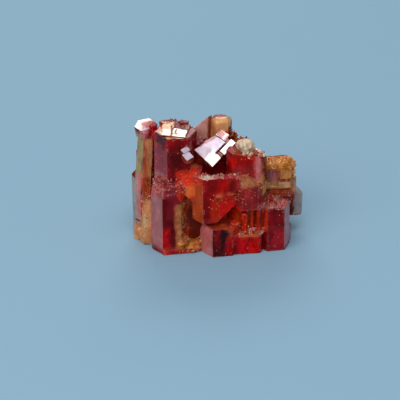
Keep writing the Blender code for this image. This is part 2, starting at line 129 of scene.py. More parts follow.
def soft_box(name, azimuth, height, distance, size, radiance, tint):
    """An area light that faces the cluster. azimuth turns from straight behind towards the right,
    and distance and size are in mm."""
    data = bpy.data.lights.new(name, "AREA")
    data.shape = "RECTANGLE"
    data.size, data.size_y = (side * MM for side in size)
    data.energy = radiance * math.pi * data.size * data.size_y
    data.color = linear(tint)[:3]
    box = bpy.data.objects.new(name, data)
    bpy.context.scene.collection.objects.link(box)
    turn, rise = math.radians(azimuth), math.radians(height)
    away = Vector((math.sin(turn) * math.cos(rise), math.cos(turn) * math.cos(rise), math.sin(rise)))
    box.location = MIDDLE + away * distance * MM
    box.rotation_euler = (-away).to_track_quat("-Z", "Y").to_euler()


def floor():
    bm = bmesh.new()
    bmesh.ops.create_grid(bm, x_segments=1, y_segments=1, size=FLOOR_REACH)
    bmesh.ops.translate(bm, verts=bm.verts, vec=(0, 0, -FLOOR_DROP))
    mesh = bpy.data.meshes.new("floor")
    bm.to_mesh(mesh)
    bm.free()
    made = bpy.data.objects.new("floor", mesh)
    bpy.context.scene.collection.objects.link(made)
    paint = bpy.data.materials.new("matte_paper")
    paint.use_nodes = True
    shader = paint.node_tree.nodes["Principled BSDF"]
    shader.inputs["Base Color"].default_value = linear("#90b4c8")
    shader.inputs["Roughness"].default_value = 0.9
    shader.inputs["Specular IOR Level"].default_value = 0.1
    mesh.materials.append(paint)


soft_box("box_high_front", 180, 65, 600, (230, 190), 5.0, "#fff4f8")
soft_box("box_overhead", 180, 80, 700, (560, 330), 1.5, "#f6f4ff")
soft_box("box_back", -4, 37, 700, (420, 300), 4.6, "#fffaf4")
soft_box("box_front_left", 212, 34, 700, (560, 320), 3.9, "#fff6ee")
floor()

world = bpy.data.worlds.new("studio_air")
world.use_nodes = True
world.node_tree.nodes["Background"].inputs["Color"].default_value = linear("#c4d0da")
world.node_tree.nodes["Background"].inputs["Strength"].default_value = 0.42
bpy.context.scene.world = world
bpy.context.scene.view_settings.view_transform = "Standard"

# %% [markdown]
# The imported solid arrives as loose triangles. A copy of it is merged into one closed skin, its
# flat faces are made whole again, and its outward edges are marked as seams, because those are
# the ones that wear. Then only long edges are halved, over and over, until the skin has enough
# corners to carry colour and relief. Slivers are left alone. The edges to halve are kept in a
# dictionary, which remembers their order, so that every run cuts the skin in the same way.

# %% Merge and refine
COARSE = 1.00
FINE = 0.42
STEP_FINE = 0.24
SLIVER = 0.012
DOUBLES = 0.002
FLAT = math.radians(0.6)
SHARP = math.radians(22)


def merged_copy(node):
    bm = bmesh.new()
    bm.from_mesh(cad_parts[node].data)
    bmesh.ops.remove_doubles(bm, verts=bm.verts, dist=DOUBLES * MM)
    bmesh.ops.dissolve_limit(bm, angle_limit=FLAT, verts=bm.verts, edges=bm.edges)
    bmesh.ops.triangulate(bm, faces=bm.faces)
    for edge in bm.edges:
        edge.seam = edge.is_manifold and edge.calc_face_angle_signed() > SHARP
    return bm


def refine(bm, longest, choose, rounds=9):
    """Halves the longest edge of each face that choose picks, until none is over longest mm."""
    for _ in range(rounds):
        faces = [face for face in bm.faces if face.calc_area() > SLIVER * MM * MM]
        halve = {}
        for face, wanted in zip(faces, choose(faces)):
            if wanted:
                edge = max(face.edges, key=lambda e: e.calc_length())
                if edge.calc_length() > longest * MM:
                    halve[edge] = True
        if not halve:
            break
        bmesh.ops.subdivide_edges(bm, edges=list(halve), cuts=1)
        bmesh.ops.triangulate(bm, faces=[face for face in bm.faces if len(face.verts) > 3])


def every_face(faces):
    return [True] * len(faces)


skin = merged_copy(CLUSTER)
print("merged skin:", len(skin.verts), "corners,", len(skin.faces), "triangles")
refine(skin, COARSE, every_face)
print("refined skin:", len(skin.faces), "triangles,", sum(e.seam for e in skin.edges), "worn edges")

# %% [markdown]
# Vanadinite is not one red. The clear core is ruby, the deep parts go to maroon, the last
# growth and the broken places are orange, and the faces that leaned on other minerals are
# clouded tan or mauve. Each zone below is a soft-edged block in millimetres that lies along
# the prisms' own directions. It says how its stretch of crystal is coloured, how clear it is,
# how rough, how strongly ribbed and how polished. A zone may keep to the faces that look one way.
# Some zones paint light as well as colour. Cream on a few tops is painted glare. The paler tints of some
# side faces are partly painted sheen. A brown strip in a gap and a darker band under the skeletal blocks are
# painted shade.

# %% Growth zones
COMMON_TURN = math.radians(10)
RIGHT = Vector((math.cos(COMMON_TURN), math.sin(COMMON_TURN), 0))
BACK = Vector((-math.sin(COMMON_TURN), math.cos(COMMON_TURN), 0))
UP = Vector((0, 0, 1))
FACING = {
    "left": (-50, 0), "front": (10, 0), "right": (70, 0), "up": (10, 90), "slope": (10, 50),
}

PALETTE = {
    "maroon": "#a81420", "wine": "#b42234", "garnet": "#701222", "plum": "#3c0c1e", "ruby": "#d0141e",
    "red": "#ff1608", "cherry": "#d43638", "scarlet": "#ff3810", "ember": "#e43a14", "brick": "#d45a4c",
    "rust": "#d4582c", "orange": "#ff7a34", "copper": "#d88850", "amber": "#c87828", "gold": "#f2a03c",
    "honey": "#f0b478", "tan": "#e49a60", "olive": "#b89a60", "brown": "#7c2c1c", "rose": "#e07c78",
    "blush": "#f4b4a4", "mauve": "#c07c84", "lilac": "#e8d6e6", "grey": "#a89a94", "cream": "#ffe2c4",
}

# name, middle, half size (right, back, up), colour, (clear, rough, ribbed, polished), facing
ZONES = (
    ("column_left_face", (-14.6, -3.0, 15.5), (1.6, 1.8, 5.6), "olive", (0.25, 0.15, 0.8, 0.3), "left"),
    ("column_front", (-13.4, -3.8, 15.5), (1.3, 1.6, 5.6), "tan", (0.35, 0.12, 0.9, 0.2), "front"),
    ("column_brown_line", (-13.5, -3.8, 15.5), (0.3, 1.6, 5.6), "rust", (0.3, 0.2, 0.9, 0.1), "front"),
    ("column_groove", (-12.1, -3.2, 14.8), (0.55, 2.0, 6.5), "maroon", (0.8, 0.2, 0.3, 0.0), "right"),
    ("head_front", (-13.2, -1.8, 22.3), (2.3, 2.4, 0.9), "rose", (0.3, 0.1, 0.0, 0.2), "up"),
    # Cream on the head's rims is painted highlight, the glare of the lamps on these tops. Their polish adds
    # the coat's real shine.
    ("head_left_painted_glare", (-15.0, -2.6, 22.2), (1.0, 2.4, 1.2), "cream", (0.0, 0.3, 0.0, 1.0), "up"),
    ("head_back_painted_glare", (-13.2, -0.6, 22.8), (2.2, 0.9, 1.0), "cream", (0.0, 0.3, 0.0, 1.0), "up"),
    ("head_pink", (-13.4, -3.5, 22.3), (0.8, 0.6, 0.5), "lilac", (0.2, 0.1, 0.0, 0.1), None),
    ("head_rose", (-13.4, -4.3, 21.1), (1.0, 1.0, 0.8), "rose", (0.2, 0.1, 0.0, 0.5), None),
    # The grey and rose tints of these left faces are partly painted sheen, the lavender reflection of the
    # pale surroundings.
    ("foot_left_grey", (-15.5, -2.4, 6.2), (1.0, 2.2, 6.5), "grey", (0.1, 0.3, 0.5, 0.3), "left"),
    ("foot_left_mauve", (-14.6, -3.6, 8.5), (0.5, 0.9, 4.5), "rose", (0.2, 0.2, 0.3, 0.1), "left"),
    ("foot_left_stripe", (-13.3, -4.0, 9.5), (0.9, 1.6, 3.0), "rust", (0.4, 0.25, 0.7, 0.2), None),
    ("foot_lump", (-13.6, -5.6, 4.0), (1.2, 1.6, 4.2), "tan", (0.3, 0.8, 0.1, 0.2), None),
    # The pale streak down the foot is painted highlight, a glare running down the lump.
    ("foot_lump_pale", (-13.9, -5.6, 4.6), (0.4, 0.8, 2.2), "honey", (0.2, 0.8, 0.1, 0.5), None),
    ("foot_lump_low", (-14.2, -4.2, 1.2), (1.9, 2.2, 1.6), "tan", (0.2, 0.5, 0.1, 0.1), None),
    ("tall_left_face", (-10.6, -6.4, 16.0), (1.3, 2.2, 3.8), "wine", (0.5, 0.15, 0.2, 0.35), "left"),
    # The rose of this lower left face is partly painted sheen, the reflection of the pale surroundings.
    ("tall_left_low", (-10.6, -6.4, 13.2), (1.3, 2.2, 1.5), "rose", (0.45, 0.2, 0.2, 0.4), "left"),
    ("tall_front", (-7.8, -7.9, 15.6), (2.8, 1.2, 3.6), "maroon", (0.78, 0.1, 0.2, 0.02), "front"),
    ("tall_front_right", (-5.6, -7.6, 15.4), (1.0, 1.2, 2.6), "ruby", (0.8, 0.3, 0.3, 0.02), "front"),
    ("cap_rim", (-7.7, -3.6, 22.2), (4.6, 4.8, 0.6), "garnet", (0.6, 0.5, 0.0, 0.03), "up"),
    ("cap_band", (-7.8, -7.8, 20.6), (3.8, 1.6, 1.2), "ruby", (0.8, 0.05, 0.0, 0.02), None),
    ("cap_left", (-10.8, -5.5, 21.6), (1.2, 2.6, 1.2), "garnet", (0.6, 0.3, 0.1, 0.12), None),
    ("cap_right", (-4.6, -4.0, 22.0), (1.3, 3.6, 0.9), "maroon", (0.7, 0.3, 0.1, 0.03), None),
    ("head_red", (-11.7, -3.8, 22.0), (1.3, 1.9, 1.6), "ruby", (0.6, 0.05, 0.0, 0.15), None),
    # The lilac of these leaning plates is painted highlight, the glare of the lamps on them, over the coat's
    # real shine.
    ("small_leaning", (-5.6, -8.9, 19.3), (1.4, 1.2, 1.4), "lilac", (0.3, 0.06, 0.0, 0.4), "slope"),
    # The rose of this left face is partly painted sheen, the reflection of the pale surroundings.
    ("front_left_left_face", (-11.0, -9.6, 6.4), (1.6, 2.2, 5.6), "rose", (0.55, 0.15, 0.1, 0.5), "left"),
    ("front_left_front", (-8.9, -10.5, 6.6), (2.4, 0.9, 5.2), "maroon", (0.8, 0.1, 0.15, 0.02), "front"),
    ("front_left_ruby", (-8.0, -10.4, 9.5), (1.4, 0.9, 2.8), "wine", (0.6, 0.1, 0.2, 0.02), "front"),
    ("front_left_orange", (-6.9, -10.2, 5.4), (0.9, 1.2, 4.6), "copper", (0.4, 0.8, 0.2, 0.1), None),
    ("front_left_crown", (-8.7, -9.8, 12.6), (3.2, 2.6, 1.1), "wine", (0.5, 0.7, 0.1, 0.1), None),
    ("front_left_crown_rose", (-11.2, -9.2, 12.6), (1.0, 2.4, 0.9), "rose", (0.3, 0.7, 0.1, 0.1), None),
    ("gap_strip", (-5.9, -8.2, 5.0), (0.6, 1.2, 3.6), "rust", (0.4, 0.4, 0.4, 0.0), "right"),
    ("gap_floor", (-5.6, -9.2, 1.4), (1.9, 1.6, 1.2), "gold", (0.05, 0.9, 0.0, 0.1), None),
    # The brown strip in the gap is painted shade, the shadow between the crystals.
    ("gap_painted_shade", (-4.1, -7.2, 4.6), (1.4, 1.2, 3.2), "brown", (0.2, 0.3, 0.2, 0.0), None),
    ("foot_ledge", (-8.0, -10.9, 0.4), (4.4, 1.4, 0.55), "ruby", (0.7, 0.3, 0.0, 0.1), None),
    ("shoulder", (-5.3, -9.0, 13.2), (2.2, 2.2, 2.4), "scarlet", (0.35, 0.5, 0.2, 0.05), None),
    ("shoulder_low", (-5.2, -9.4, 12.2), (1.1, 1.2, 1.0), "orange", (0.1, 0.5, 0.2, 0.05), None),
    ("block_left_face", (-3.6, -9.6, 9.8), (1.4, 1.9, 4.2), "rust", (0.35, 0.2, 0.3, 0.3), "left"),
    ("block_front_left", (-2.3, -10.7, 11.4), (1.3, 1.0, 4.4), "ruby", (0.7, 0.05, 0.1, 0.02), "front"),
    ("block_front_middle", (1.2, -10.2, 12.6), (2.8, 1.0, 2.2), "red", (0.8, 0.05, 0.1, 0.02), "front"),
    ("block_front_low", (-0.4, -10.4, 9.0), (1.0, 1.0, 2.2), "scarlet", (0.5, 0.3, 0.6, 0.02), "front"),
    ("block_crack_left", (0.0, -10.3, 11.5), (0.5, 1.0, 0.25), "orange", (0.1, 0.6, 0.0, 0.2), "front"),
    ("block_crack_right", (1.9, -10.0, 11.9), (1.6, 1.0, 0.2), "orange", (0.1, 0.6, 0.0, 0.2), "front"),
    ("block_pink", (1.0, -10.2, 8.6), (0.5, 1.0, 1.8), "rose", (0.3, 0.4, 0.2, 0.1), "front"),
    ("block_recess", (2.2, -9.2, 8.9), (2.2, 1.4, 2.4), "red", (0.35, 0.3, 0.4, 0.05), None),
    ("block_ledge", (-0.8, -9.6, 15.3), (4.4, 1.6, 0.4), "cherry", (0.5, 0.5, 0.0, 0.3), "up"),
    ("block_ledge_glare", (-2.4, -10.0, 15.3), (1.4, 0.9, 0.4), "cream", (0.2, 0.6, 0.0, 1.0), "up"),
    ("right_front", (5.9, -9.8, 11.8), (2.6, 1.4, 2.9), "cherry", (0.6, 0.2, 0.9, 0.05), None),
    ("right_shoulder", (6.4, -9.4, 14.2), (2.4, 1.6, 1.0), "copper", (0.25, 0.6, 0.2, 0.15), None),
    # The rose of this left face is partly painted sheen, the reflection of the pale surroundings.
    ("lower_left_face", (-2.3, -10.2, 2.8), (1.5, 1.6, 2.9), "rose", (0.35, 0.4, 0.1, 0.6), "left"),
    ("lower_front", (-0.1, -11.5, 2.9), (1.9, 0.9, 2.9), "plum", (0.9, 0.1, 0.1, 0.05), "front"),
    ("lower_wide", (4.8, -10.6, 2.0), (3.4, 1.2, 2.0), "ruby", (0.85, 0.1, 0.1, 0.02), "front"),
    ("lower_wide_right", (7.0, -10.2, 2.0), (1.4, 1.2, 1.8), "red", (0.6, 0.1, 0.3, 0.02), "front"),
    ("lower_wide_ledge", (6.2, -9.6, 4.0), (2.2, 1.2, 0.4), "tan", (0.2, 0.9, 0.0, 0.2), None),
    ("niche", (5.6, -8.2, 6.2), (3.4, 2.0, 2.4), "ember", (0.5, 0.35, 0.6, 0.05), None),
    ("pillar_left", (4.6, -9.3, 5.8), (0.8, 1.0, 2.0), "scarlet", (0.7, 0.3, 0.4, 0.0), None),
    ("right_low_top", (10.2, -6.6, 8.9), (3.2, 3.2, 0.5), "rose", (0.4, 0.8, 0.0, 0.15), None),
    ("right_low_front", (9.9, -9.1, 6.8), (2.2, 0.9, 1.9), "maroon", (0.75, 0.1, 0.1, 0.02), "front"),
    ("right_low_foot", (9.9, -9.2, 2.4), (2.2, 0.9, 2.4), "wine", (0.7, 0.5, 0.1, 0.02), "front"),
    # The mauve of this right face is partly painted sheen, the reflection of the pale surroundings.
    ("right_low_right", (12.6, -8.0, 4.8), (1.6, 2.2, 4.2), "mauve", (0.3, 0.2, 0.1, 0.06), "right"),
    ("upper_band", (4.4, -8.4, 17.7), (3.2, 0.9, 1.2), "red", (0.62, 0.1, 0.1, 0.02), None),
    ("upper_top", (4.6, -7.4, 18.9), (3.4, 2.0, 0.6), "rust", (0.4, 0.5, 0.1, 0.05), "up"),
    # Cream here is partly the pale small crystals and partly painted glare on their tops.
    ("strewn_middle", (5.3, -7.2, 19.35), (0.7, 0.9, 0.4), "cream", (0.0, 0.2, 0.0, 1.0), None),
    ("strewn_right", (7.2, -6.2, 19.0), (0.7, 0.7, 0.4), "cream", (0.0, 0.2, 0.0, 0.8), None),
    ("upper_low", (4.4, -8.4, 15.4), (3.0, 0.9, 1.4), "cherry", (0.6, 0.3, 0.6, 0.02), "front"),
    ("upper_strip", (7.2, -8.0, 16.2), (0.6, 1.0, 2.6), "rose", (0.4, 0.2, 0.8, 0.1), None),
    ("hollow", (0.4, -4.4, 15.0), (2.6, 2.4, 2.4), "maroon", (0.7, 0.1, 0.1, 0.02), None),
    ("rear_pink", (-3.3, 0.4, 20.6), (1.6, 1.8, 3.4), "blush", (0.15, 0.2, 0.4, 0.35), None),
    ("orange_top_left", (-1.1, 1.5, 20.6), (1.2, 1.6, 2.4), "tan", (0.2, 0.2, 0.8, 0.2), "left"),
    ("orange_top_right", (1.0, 1.2, 20.8), (1.9, 1.6, 2.4), "honey", (0.2, 0.2, 0.3, 0.05), "front"),
    ("orange_top_slope", (1.0, 1.2, 21.6), (1.9, 1.2, 0.9), "honey", (0.1, 0.2, 0.1, 0.1), None),
    ("behind_grain", (3.4, 1.2, 18.2), (2.0, 2.2, 1.6), "brown", (0.3, 0.7, 0.1, 0.05), None),
    ("skeletal_crown", (10.8, -3.0, 15.2), (3.6, 2.6, 1.0), "gold", (0.3, 0.7, 0.2, 0.1), None),
    ("skeletal_gold", (12.6, -3.8, 13.2), (1.4, 1.2, 1.3), "gold", (0.4, 0.25, 0.2, 0.25), None),
    ("skeletal_side", (8.6, -6.8, 11.9), (0.8, 1.4, 1.2), "gold", (0.1, 0.4, 0.2, 0.4), "right"),
    ("skeletal_recess", (9.6, -3.4, 12.4), (1.6, 1.4, 1.6), "rose", (0.35, 0.15, 0.9, 0.25), None),
    ("skeletal_red", (12.4, -3.7, 11.6), (1.4, 1.0, 0.6), "wine", (0.5, 0.3, 0.2, 0.05), None),
    ("skeletal_blocks", (10.8, -3.9, 10.9), (3.4, 1.4, 0.8), "honey", (0.4, 0.3, 0.2, 0.25), None),
    # The darker rust band under the blocks is partly painted shade beneath them.
    ("skeletal_low", (11.0, -3.6, 8.8), (3.4, 1.4, 1.3), "rust", (0.4, 0.3, 0.5, 0.1), None),
    ("skeletal_right", (14.4, -2.0, 12.4), (0.8, 2.4, 3.4), "tan", (0.3, 0.3, 0.4, 0.05), None),
    ("skeletal_foot", (13.6, -2.4, 6.2), (1.6, 1.8, 2.2), "brown", (0.4, 0.2, 0.4, 0.0), None),
    ("far_right", (15.3, -0.6, 6.2), (1.2, 1.8, 2.8), "grey", (0.2, 0.3, 0.3, 0.2), None),
)

# %% [markdown]
# Two places shine like mirrors: the stepped plates of the leaning prism and the terrace on the
# cap. Their zones lie along their own directions, and start from a corner of the plate. Growth
# steps are straight, so these borders are sharper and wander less than the others do.
# On the plates and the terrace the cream and lilac tints are painted highlight, the glare of the lamps, laid
# over the coat's real reflection. The thin garnet line between two plates is painted shadow along the step.

# %% Shining plates
LEAN = math.radians(45)
CLIMB = math.radians(48.8)
PLATE_OUT = Vector((0, -math.sin(LEAN), math.cos(LEAN)))
PLATE_UPHILL = Vector((0, math.cos(LEAN), math.sin(LEAN)))
PLATE_ALONG = Vector((1, 0, 0)) * math.cos(CLIMB) + PLATE_UPHILL * math.sin(CLIMB)
PLATE_TIP = (-1.09, -7.76, 16.4)
PLATE_ZONES = (
    # The cream and lilac rows paint the lamps' glare as highlight. The gap row paints the step's shadow.
    ("plate_all", (3.4, 2.3, 0.0), (3.9, 3.0, 0.5), "rose", (0.1, 0.05, 0.0, 0.4), "slope"),
    ("plate_middle", (3.8, 2.8, 0.0), (1.7, 1.4, 0.5), "lilac", (0.1, 0.05, 0.0, 0.4), "slope"),
    ("plate_side", (1.1, 3.5, 0.0), (1.3, 1.4, 0.5), "lilac", (0.2, 0.05, 0.0, 0.22), "slope"),
    ("plate_corner", (1.15, 1.05, 0.0), (1.3, 1.1, 0.5), "cream", (0.0, 0.05, 0.0, 0.8), "slope"),
    ("plate_strip", (4.9, 0.5, 0.0), (1.9, 0.6, 0.5), "cream", (0.0, 0.05, 0.0, 1.0), "slope"),
    ("plate_gap_painted_shadow", (3.8, 1.25, 0.0), (1.5, 0.12, 0.6), "garnet", (0.5, 0.2, 0.0, 0.0), None),
    ("plate_far", (6.2, 2.7, 0.0), (0.9, 1.2, 0.5), "rose", (0.1, 0.2, 0.0, 0.45), "slope"),
    ("plate_far_streak", (6.2, 2.2, 0.0), (0.9, 0.2, 0.5), "cream", (0.0, 0.1, 0.0, 1.0), "slope"),
)
TERRACE_RIGHT = Vector((4.4, -0.30, -0.34)).normalized()
TERRACE_BACK = Vector((0.12, 0.99, 0.075)).normalized()
TERRACE_CORNER = (-10.34, -7.31, 22.48)
TERRACE_ZONES = (
    # The cream rows paint the lamps' glare on the cap as highlight.
    ("terrace_left", (0.8, 2.6, 0.0), (1.2, 3.2, 0.4), "honey", (0.2, 0.4, 0.0, 0.3), "up"),
    ("terrace_left_pale", (0.9, 1.4, 0.0), (0.7, 1.2, 0.4), "cream", (0.0, 0.3, 0.0, 0.6), "up"),
    ("terrace_right", (3.2, 1.6, 0.0), (1.2, 1.7, 0.4), "cream", (0.0, 0.2, 0.0, 0.9), "up"),
    ("terrace_step_left", (1.75, 1.6, 0.0), (0.12, 1.7, 0.4), "garnet", (0.3, 0.6, 0.0, 0.0), "up"),
    ("terrace_step_right", (2.5, 2.0, 0.0), (0.10, 1.0, 0.4), "garnet", (0.3, 0.6, 0.0, 0.0), "up"),
    ("terrace_step_across", (2.4, 1.2, 0.0), (0.8, 0.10, 0.4), "garnet", (0.3, 0.6, 0.0, 0.0), "up"),
    ("terrace_back_edge", (3.0, 3.4, 0.0), (1.5, 0.12, 0.4), "garnet", (0.3, 0.6, 0.0, 0.0), "up"),
)

PLATE_AXES = (PLATE_ALONG, PLATE_OUT.cross(PLATE_ALONG), PLATE_OUT)
TERRACE_AXES = (TERRACE_RIGHT, TERRACE_BACK, TERRACE_RIGHT.cross(TERRACE_BACK))

# corner, axes, width of the borders in mm, share of the wandering, zones
ZONE_FRAMES = (
    ((0, 0, 0), (RIGHT, BACK, UP), 0.7, 1.0, ZONES),
    (PLATE_TIP, PLATE_AXES, 0.15, 0.2, PLATE_ZONES),
    (TERRACE_CORNER, TERRACE_AXES, 0.2, 0.6, TERRACE_ZONES),
)
ZONE_WANDER = 0.35
WANDER_SIZE = 1.6
PATCH_SIZE = 4.5
PATCH_CONTRAST = 1.6
WARM_SHARE = 0.35
COMMON_FINISH = (0.6, 0.2, 0.35, 0.1)
TOP_ROUGH = 0.4
TOP_FROM = 0.5
TOP_FADE = 0.3
FACING_FROM = 0.62
FACING_FADE = 0.2
SEED_WANDER = 11

# Unless it is seeded, noise_vector starts from the clock and differs at each run.
noise.seed_set(SEED_WANDER)


def face_direction(azimuth, height):
    """The way a face looks. azimuth turns from straight at the camera towards the right."""
    turn, rise = math.radians(azimuth), math.radians(height)
    return Vector((math.sin(turn) * math.cos(rise), -math.cos(turn) * math.cos(rise), math.sin(rise)))


def smooth(values):
    inside = np.clip(values, 0, 1)
    return inside * inside * (3 - 2 * inside)


def base_look(place, facing):
    """What no zone covers: maroon to rust in broad patches, and rougher on tops."""
    patch = np.array([noise.noise(Vector(p) / PATCH_SIZE) for p in place])[:, None]
    dark, warm = np.array(linear(PALETTE["maroon"])), np.array(linear(PALETTE["rust"]))
    share = smooth(patch * PATCH_CONTRAST + WARM_SHARE)
    tint = dark * (1 - share) + warm * share
    finish = np.tile(np.array(COMMON_FINISH), (len(place), 1))
    finish[:, 1:2] += TOP_ROUGH * smooth((facing[:, 2:] - TOP_FROM) / TOP_FADE)
    return tint, finish


def zone_look(place, push, facing):
    """Colour and finish at places in millimetres, on faces that look the way of facing."""
    tint, finish = base_look(place, facing)
    for corner, axes, blur, share, zones in ZONE_FRAMES:
        axes = np.array(axes)
        along = (place + share * push - np.array(corner)) @ axes.T
        for _, middle, half, colour, surface, looks in zones:
            centre = axes @ np.array(middle) if zones is ZONES else np.array(middle)
            weight = smooth((np.array(half) - np.abs(along - centre)) / blur + 0.5).prod(axis=1)
            if looks:
                towards = facing @ np.array(face_direction(*FACING[looks]))
                weight = weight * smooth((towards - FACING_FROM) / FACING_FADE)
            weight = weight[:, None]
            tint = tint * (1 - weight) + np.array(linear(PALETTE[colour])) * weight
            finish = finish * (1 - weight) + np.array(surface) * weight
    return tint, finish


def wander(place):
    """How far each place, in mm, is pushed aside, so that no zone has a straight border."""
    return np.array([ZONE_WANDER * noise.noise_vector(Vector(p) / WANDER_SIZE) for p in place])


# %% [markdown]
# A worn edge, a ribbed face and a broken one each need finer triangles than a clean face does.
# So the skin is refined again, only there. The relief then always goes inwards, and the cluster
# keeps its size: ribs run up the prisms, breaks are jagged, and sharp edges lose small chips.
# Polished plates stay flat, or they wouldn't mirror. Clean faces are shaded flat, as a crystal's
# are, and only rough or ribbed ones are smoothed.

# %% Relief
RIB_SPACING = 0.8
RIB_LENGTH = 6.0
RIB_DEPTH = 0.16
BREAK_SIZE = 0.8
BREAK_DEPTH = 0.5
JAGGED = (0.7, 2.0, 3)
STEP_REACH = 7.5
EDGE_WEAR = 0.03
CHIP_SIZE = 0.7
CHIP_DEPTH = 0.22
BROKEN_FROM = 0.25
FINE_ROUGH = 0.45
FINE_RIBBED = 0.5
SMOOTH_FROM = 0.42
CREASE = math.radians(32)
SPARKLE_SIZE = 0.5
SPARKLE_GAIN = 1.6
LOOSE, LOOSE_FALL = 1.3, 2.6
WEAR_AND_GLINT_TINT = 0.5
WORN_FINISH = (-0.3, 0.1, 0.0, 0.35)


def worn_or_broken(faces):
    """The faces that the relief shapes: rough, ribbed, or with a corner on a worn edge."""
    place = np.array([face.calc_center_median() for face in faces]) / MM
    finish = zone_look(place, wander(place), np.array([face.normal for face in faces]))[1]
    marked = [any(edge.seam for vert in face.verts for edge in vert.link_edges) for face in faces]
    return (finish[:, 1] > FINE_ROUGH) | (finish[:, 2] > FINE_RIBBED) | np.array(marked)


def stepped_plate(faces):
    """The slanting plates and the terrace, whose growth steps are thin lines."""
    corners = (Vector(PLATE_TIP), Vector(TERRACE_CORNER))
    middles = [face.calc_center_median() / MM for face in faces]
    near = [any((middle - corner).length < STEP_REACH for corner in corners) for middle in middles]
    return [face.normal.z > 0.5 and close for face, close in zip(faces, near)]


refine(skin, FINE, worn_or_broken, rounds=4)
refine(skin, STEP_FINE, stepped_plate, rounds=5)
print("skin with fine places:", len(skin.faces), "triangles")


def relief_depth(place, finish, wear):
    """How far each corner sinks, in mm. wear is 1 on the edges that lose chips and 0 elsewhere."""
    drawn_out = place * (1, 1, RIB_SPACING / RIB_LENGTH)
    ribs = np.array([noise.noise(Vector(p) / RIB_SPACING) for p in drawn_out])
    breaks = np.array([noise.fractal(Vector(p) / BREAK_SIZE, *JAGGED) for p in place])
    chips = np.array([noise.noise(Vector(p) / CHIP_SIZE + Vector((9, 4, 2))) for p in place])
    broken = np.clip(finish[:, 1] - BROKEN_FROM, 0, 1)
    depth = finish[:, 2] * RIB_DEPTH * (1 - ribs) / 2 + broken * BREAK_DEPTH * np.clip(0.5 - breaks, 0, 1)
    return depth + wear * (EDGE_WEAR + CHIP_DEPTH * np.clip(chips, 0, 1))


def dressed_mesh(bm, name):
    """Makes a mesh of the skin, with relief, whose corners carry the zones' colour and finish. The
    finish is clear, rough, ribbed and polished, as red, green, blue and alpha."""
    bm.verts.index_update()
    wear = np.array([any(edge.seam for edge in vert.link_edges) for vert in bm.verts], float)
    place = np.array([vert.co for vert in bm.verts]) / MM
    push = wander(place)
    normal = np.array([vert.normal for vert in bm.verts])
    mesh = bpy.data.meshes.new(name)
    bm.to_mesh(mesh)
    mesh.validate()
    corner = np.zeros(len(mesh.loops), int)
    mesh.loops.foreach_get("vertex_index", corner)
    facing = np.repeat(np.array([p.normal for p in mesh.polygons]), 3, axis=0)
    tint, finish = zone_look(place[corner], push[corner], facing)
    polish = np.zeros(len(place))
    np.maximum.at(polish, corner, finish[:, 3])
    loose = np.clip(LOOSE - LOOSE_FALL * polish, 0, 1)

    # Worn edges are tinted blush in patches. This is partly the paler broken crystal of real chips and
    # partly painted glint where an edge catches the light.
    sparkle = np.array([noise.noise(Vector(p) / SPARKLE_SIZE) for p in place])
    wear_and_glint = (wear * loose * np.clip(SPARKLE_GAIN * sparkle, 0, 1))[corner][:, None]
    tint = tint * (1 - WEAR_AND_GLINT_TINT * wear_and_glint) + np.array(linear(PALETTE["blush"])) * WEAR_AND_GLINT_TINT * wear_and_glint
    finish = finish + wear_and_glint * np.array(WORN_FINISH)
    for label, values in (("tint", tint), ("finish", np.clip(finish, 0, 1))):
        layer = mesh.attributes.new(label, "FLOAT_COLOR", "CORNER")
        layer.data.foreach_set("color", values.astype(np.float32).ravel())

    sunk = relief_depth(place, zone_look(place, push, normal)[1], wear) * loose
    moved = (place - normal * sunk[:, None]) * MM
    mesh.vertices.foreach_set("co", moved.astype(np.float32).ravel())
    uneven = finish[::3, 1:3].max(axis=1) > SMOOTH_FROM
    mesh.set_sharp_from_angle(angle=CREASE)
    # The line above makes all faces smooth, so the flat ones are set after it.
    mesh.polygons.foreach_set("use_smooth", uneven)
    mesh.update()
    return mesh


cluster_mesh = dressed_mesh(skin, "vanadinite_cluster")
print("painted", sum(len(row[-1]) for row in ZONE_FRAMES), "zones")

# %% [markdown]
# The crystal's material. Vanadinite is a lead mineral, so it bends light far more than glass
# does (index about 2.4) and its grown faces shine like resin or diamond. Here a coat of index
# 2.3 gives that shine where a face is polished. The body under it uses 1.6, a choice for the
# look: it reflects less of the studio and shows more of the red inside. Light that gets in
# comes out red, because a volume takes the green and blue away. Cloudy growth scatters light
# back, which the base colour and a little subsurface stand for. Real grit is a few hundredths
# of a millimetre and wouldn't show, so it is drawn coarser, and so are the small pale flecks
# strewn in patches over the faces.

# %% Vanadinite
MOTTLE_SIZE = 1.6 * MM
RIB_WIDTH = 0.32 * MM
RIB_STRETCH = 0.09
VEIL_STRETCH = 0.5
GRIT_SIZE = 0.16 * MM
FLECK_SPACING = 0.75 * MM
VEIL_SIZE = 2.0 * MM
SHIMMER_SIZE = 0.4 * MM
BUMP_HEIGHT = 0.06 * MM


